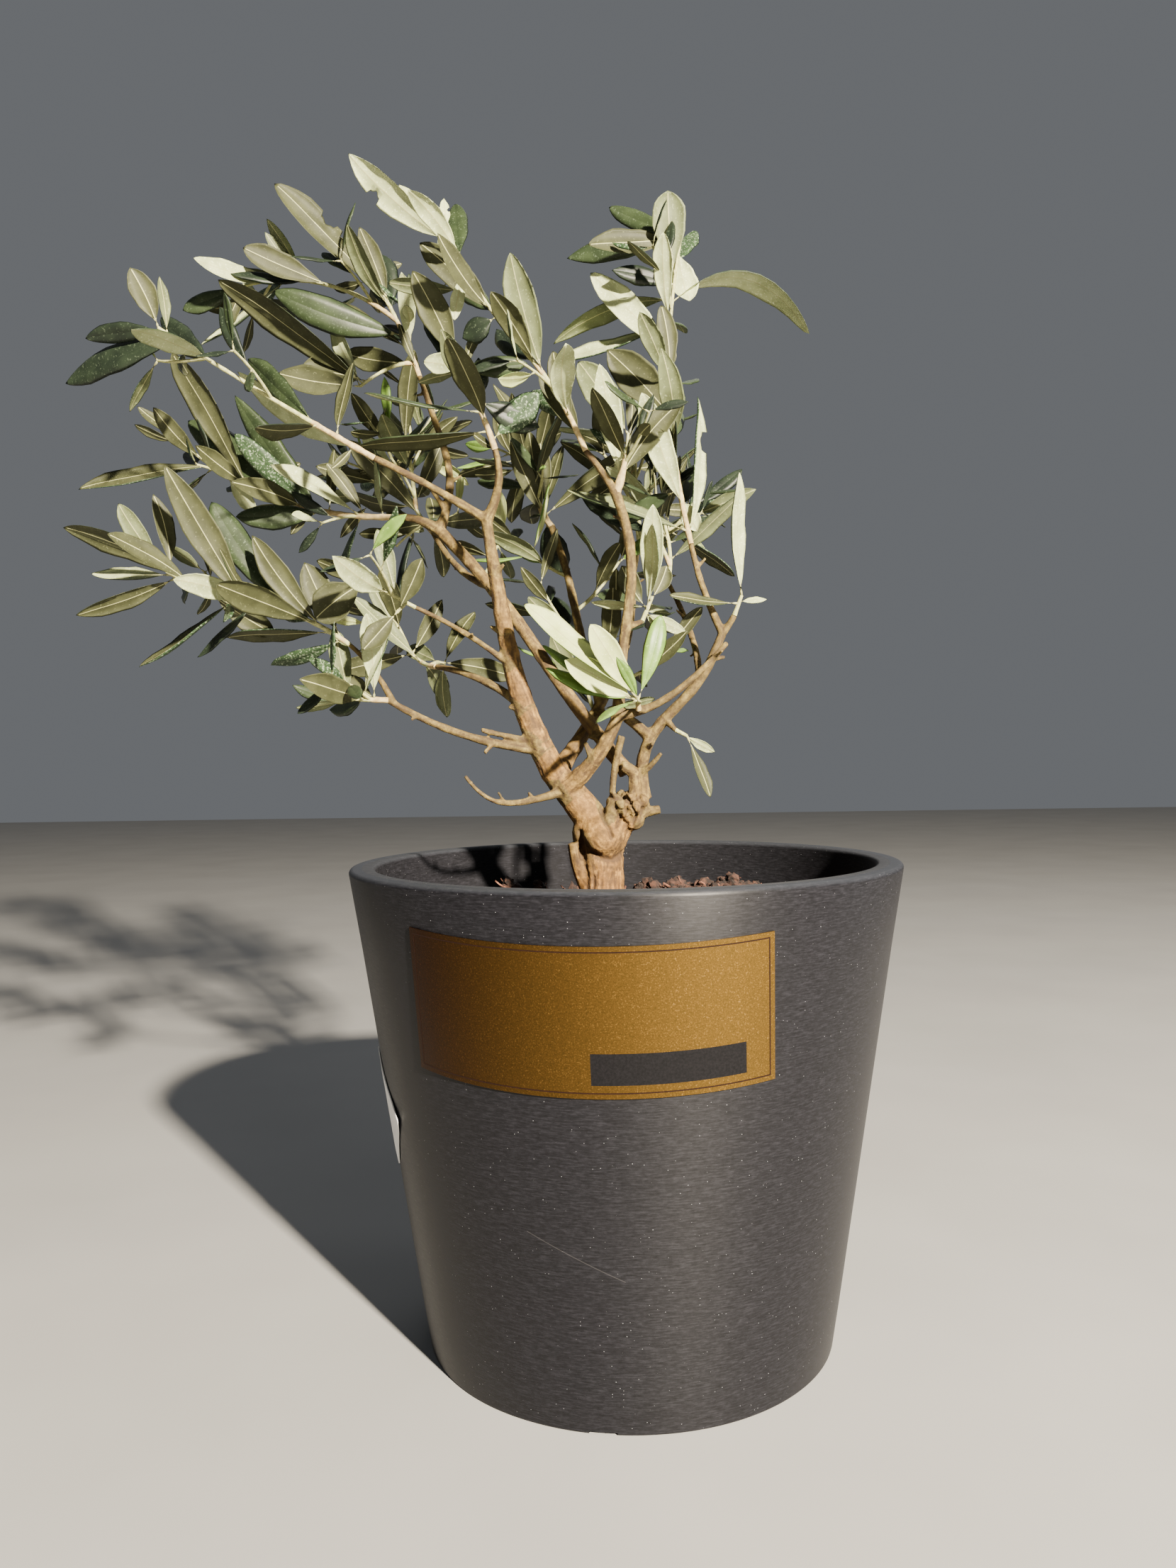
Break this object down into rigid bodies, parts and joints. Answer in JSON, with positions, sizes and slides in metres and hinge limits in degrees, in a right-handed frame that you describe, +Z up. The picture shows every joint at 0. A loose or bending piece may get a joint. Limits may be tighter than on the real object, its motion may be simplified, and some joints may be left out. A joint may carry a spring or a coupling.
{
  "type": "potted olive tree",
  "caption": "Small gnarled olive tree with lance-shaped silver-green leaves, in a tapered graphite-grey pot with a plain gold band label.",
  "frame": {"origin": "centre of the pot's flat underside", "axes": "+Z up along the pot's axis, -Y towards the viewer of the gold label, +X to the right seen from there"},
  "size_m": [0.338, 0.2338, 0.4883],
  "materials": {
    "pot": "matt, finely streaked graphite grey with pale specks",
    "compost": "matt, fibrous crumbs",
    "gold_label": "satin gold film",
    "sticker": "matt paper",
    "bark": "matt, knobby bark",
    "leaf": "leathery, silver-grey below and dark green above"
  },
  "bodies": {
    "root": {"pot": "pot", "compost": "compost", "gold_label": "gold_label", "side_sticker": "sticker", "trunk": "bark", "leader": "bark", "left_arm": "bark", "leader_top": "bark", "second": "bark", "second_up": "bark", "second_left": "bark", "low_upper": "bark", "low_mid": "bark", "lowest": "bark", "low_arm": "bark", "dead_twig": "bark", "front": "bark", "front_right": "bark", "middle": "bark", "middle_top": "bark", "back": "bark", "back_upper": "bark", "rear": "bark", "right": "bark", "tall": "bark", "right_tip": "bark", "rear_right": "bark", "rear_left": "bark", "spray_far_left": "leaf", "spray_left": "leaf", "spray_low_left": "leaf", "spray_low": "leaf", "spray_low_upper": "leaf", "spray_low_mid": "leaf", "spray_top_left": "leaf", "spray_top": "leaf", "spray_upper_left": "leaf", "spray_centre": "leaf", "spray_tall": "leaf", "spray_right": "leaf", "spray_front": "leaf", "spray_mid_right": "leaf", "spray_back_centre": "leaf", "spray_hanging": "leaf", "spray_rear": "leaf", "spray_rear_right": "leaf", "spray_rear_left": "leaf"}
  },
  "joints": []
}
